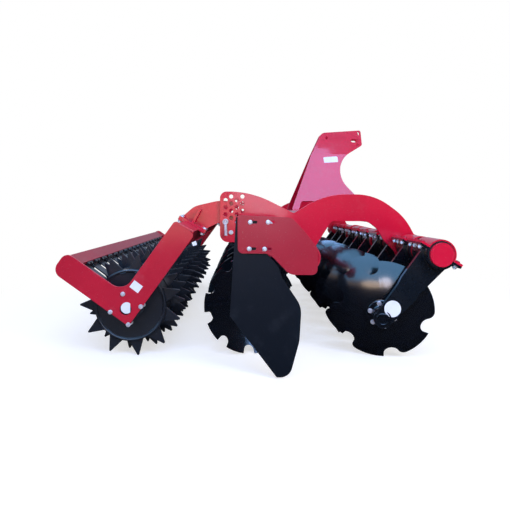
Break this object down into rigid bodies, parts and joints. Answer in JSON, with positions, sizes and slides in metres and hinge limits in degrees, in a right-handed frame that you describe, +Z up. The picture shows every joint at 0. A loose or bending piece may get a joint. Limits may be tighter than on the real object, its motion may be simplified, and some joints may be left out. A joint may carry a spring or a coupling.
{
  "type": "mounted disc harrow",
  "caption": "Mounted compact disc harrow: wavy side plates on round beams, rubber-clamped arms with notched dished discs, toothed packer roller and side shields.",
  "frame": {"origin": "on the floor, under the middle of the length and width", "axes": "+X forward in the direction of travel, +Y to the left, +Z up"},
  "size_m": [2.5755, 3, 1.4869],
  "materials": {
    "red_paint": "glossy crimson powder coat",
    "black_paint": "satin black powder coat",
    "disc_steel": "glossy blue-black paint on steel",
    "roller_steel": "glossy black paint",
    "rubber": "matte black",
    "zinc": "zinc plated"
  },
  "bodies": {
    "frame": {"depth_pins": "zinc", "front_beam": "red_paint", "front_clamp_caps": "red_paint", "front_clamp_rubbers": "rubber", "front_cross_tube": "red_paint", "front_disc_arms": "black_paint", "hitch_bracket_left": "red_paint", "hitch_bracket_right": "red_paint", "lower_link_pins": "zinc", "middle_cross_tube": "red_paint", "rear_beam": "red_paint", "rear_clamp_caps": "red_paint", "rear_clamp_rubbers": "rubber", "rear_disc_arms": "black_paint", "roller_pivot_pins": "zinc", "shield_bolts": "zinc", "shield_bracket_left": "red_paint", "shield_bracket_right": "red_paint", "side_plate_left": "red_paint", "side_plate_right": "red_paint", "side_shield_left": "black_paint", "side_shield_right": "black_paint", "tower_plate_left": "red_paint", "tower_plate_right": "red_paint"},
    "roller_frame": {"roller_arm_left": "red_paint", "roller_arm_right": "red_paint", "roller_bearings": "black_paint", "roller_cross_tube": "red_paint", "roller_end_plate_left": "red_paint", "roller_end_plate_right": "red_paint", "scraper_beam": "red_paint", "scrapers": "black_paint"},
    "roller": {"packer_roller": "roller_steel"},
    "disc_front_01": {"disc_front_01": "disc_steel"},
    "disc_front_02": {"disc_front_02": "disc_steel"},
    "disc_front_03": {"disc_front_03": "disc_steel"},
    "disc_front_04": {"disc_front_04": "disc_steel"},
    "disc_front_05": {"disc_front_05": "disc_steel"},
    "disc_front_06": {"disc_front_06": "disc_steel"},
    "disc_front_07": {"disc_front_07": "disc_steel"},
    "disc_front_08": {"disc_front_08": "disc_steel"},
    "disc_front_09": {"disc_front_09": "disc_steel"},
    "disc_front_10": {"disc_front_10": "disc_steel"},
    "disc_rear_01": {"disc_rear_01": "disc_steel"},
    "disc_rear_02": {"disc_rear_02": "disc_steel"},
    "disc_rear_03": {"disc_rear_03": "disc_steel"},
    "disc_rear_04": {"disc_rear_04": "disc_steel"},
    "disc_rear_05": {"disc_rear_05": "disc_steel"},
    "disc_rear_06": {"disc_rear_06": "disc_steel"},
    "disc_rear_07": {"disc_rear_07": "disc_steel"},
    "disc_rear_08": {"disc_rear_08": "disc_steel"},
    "disc_rear_09": {"disc_rear_09": "disc_steel"},
    "disc_rear_10": {"disc_rear_10": "disc_steel"}
  },
  "joints": [
    {"name": "roller_frame_pivot", "type": "hinge", "parent": "frame", "child": "roller_frame", "pos_m": [-0.1, 0, 0.735], "axis": [0, 1, 0], "range_deg": [0, 6]},
    {"name": "roller_spin", "type": "hinge", "parent": "roller_frame", "child": "roller", "pos_m": [-0.903, 0, 0.2896], "axis": [0, 1, 0], "continuous": true},
    {"name": "disc_front_01_spin", "type": "hinge", "parent": "frame", "child": "disc_front_01", "pos_m": [0.514, -1.1875, 0.27655], "axis": [-0.2389, -0.9583, -0.1564], "continuous": true},
    {"name": "disc_front_02_spin", "type": "hinge", "parent": "frame", "child": "disc_front_02", "pos_m": [0.514, -0.9375, 0.27655], "axis": [-0.2389, -0.9583, -0.1564], "continuous": true},
    {"name": "disc_front_03_spin", "type": "hinge", "parent": "frame", "child": "disc_front_03", "pos_m": [0.514, -0.6875, 0.27655], "axis": [-0.2389, -0.9583, -0.1564], "continuous": true},
    {"name": "disc_front_04_spin", "type": "hinge", "parent": "frame", "child": "disc_front_04", "pos_m": [0.514, -0.4375, 0.27655], "axis": [-0.2389, -0.9583, -0.1564], "continuous": true},
    {"name": "disc_front_05_spin", "type": "hinge", "parent": "frame", "child": "disc_front_05", "pos_m": [0.514, -0.1875, 0.27655], "axis": [-0.2389, -0.9583, -0.1564], "continuous": true},
    {"name": "disc_front_06_spin", "type": "hinge", "parent": "frame", "child": "disc_front_06", "pos_m": [0.514, 0.0625, 0.27655], "axis": [-0.2389, -0.9583, -0.1564], "continuous": true},
    {"name": "disc_front_07_spin", "type": "hinge", "parent": "frame", "child": "disc_front_07", "pos_m": [0.514, 0.3125, 0.27655], "axis": [-0.2389, -0.9583, -0.1564], "continuous": true},
    {"name": "disc_front_08_spin", "type": "hinge", "parent": "frame", "child": "disc_front_08", "pos_m": [0.514, 0.5625, 0.27655], "axis": [-0.2389, -0.9583, -0.1564], "continuous": true},
    {"name": "disc_front_09_spin", "type": "hinge", "parent": "frame", "child": "disc_front_09", "pos_m": [0.514, 0.8125, 0.27655], "axis": [-0.2389, -0.9583, -0.1564], "continuous": true},
    {"name": "disc_front_10_spin", "type": "hinge", "parent": "frame", "child": "disc_front_10", "pos_m": [0.514, 1.0625, 0.27655], "axis": [-0.2389, -0.9583, -0.1564], "continuous": true},
    {"name": "disc_rear_01_spin", "type": "hinge", "parent": "frame", "child": "disc_rear_01", "pos_m": [-0.212, 1.1875, 0.27655], "axis": [-0.2389, 0.9583, -0.1564], "continuous": true},
    {"name": "disc_rear_02_spin", "type": "hinge", "parent": "frame", "child": "disc_rear_02", "pos_m": [-0.212, 0.9375, 0.27655], "axis": [-0.2389, 0.9583, -0.1564], "continuous": true},
    {"name": "disc_rear_03_spin", "type": "hinge", "parent": "frame", "child": "disc_rear_03", "pos_m": [-0.212, 0.6875, 0.27655], "axis": [-0.2389, 0.9583, -0.1564], "continuous": true},
    {"name": "disc_rear_04_spin", "type": "hinge", "parent": "frame", "child": "disc_rear_04", "pos_m": [-0.212, 0.4375, 0.27655], "axis": [-0.2389, 0.9583, -0.1564], "continuous": true},
    {"name": "disc_rear_05_spin", "type": "hinge", "parent": "frame", "child": "disc_rear_05", "pos_m": [-0.212, 0.1875, 0.27655], "axis": [-0.2389, 0.9583, -0.1564], "continuous": true},
    {"name": "disc_rear_06_spin", "type": "hinge", "parent": "frame", "child": "disc_rear_06", "pos_m": [-0.212, -0.0625, 0.27655], "axis": [-0.2389, 0.9583, -0.1564], "continuous": true},
    {"name": "disc_rear_07_spin", "type": "hinge", "parent": "frame", "child": "disc_rear_07", "pos_m": [-0.212, -0.3125, 0.27655], "axis": [-0.2389, 0.9583, -0.1564], "continuous": true},
    {"name": "disc_rear_08_spin", "type": "hinge", "parent": "frame", "child": "disc_rear_08", "pos_m": [-0.212, -0.5625, 0.27655], "axis": [-0.2389, 0.9583, -0.1564], "continuous": true},
    {"name": "disc_rear_09_spin", "type": "hinge", "parent": "frame", "child": "disc_rear_09", "pos_m": [-0.212, -0.8125, 0.27655], "axis": [-0.2389, 0.9583, -0.1564], "continuous": true},
    {"name": "disc_rear_10_spin", "type": "hinge", "parent": "frame", "child": "disc_rear_10", "pos_m": [-0.212, -1.0625, 0.27655], "axis": [-0.2389, 0.9583, -0.1564], "continuous": true}
  ]
}
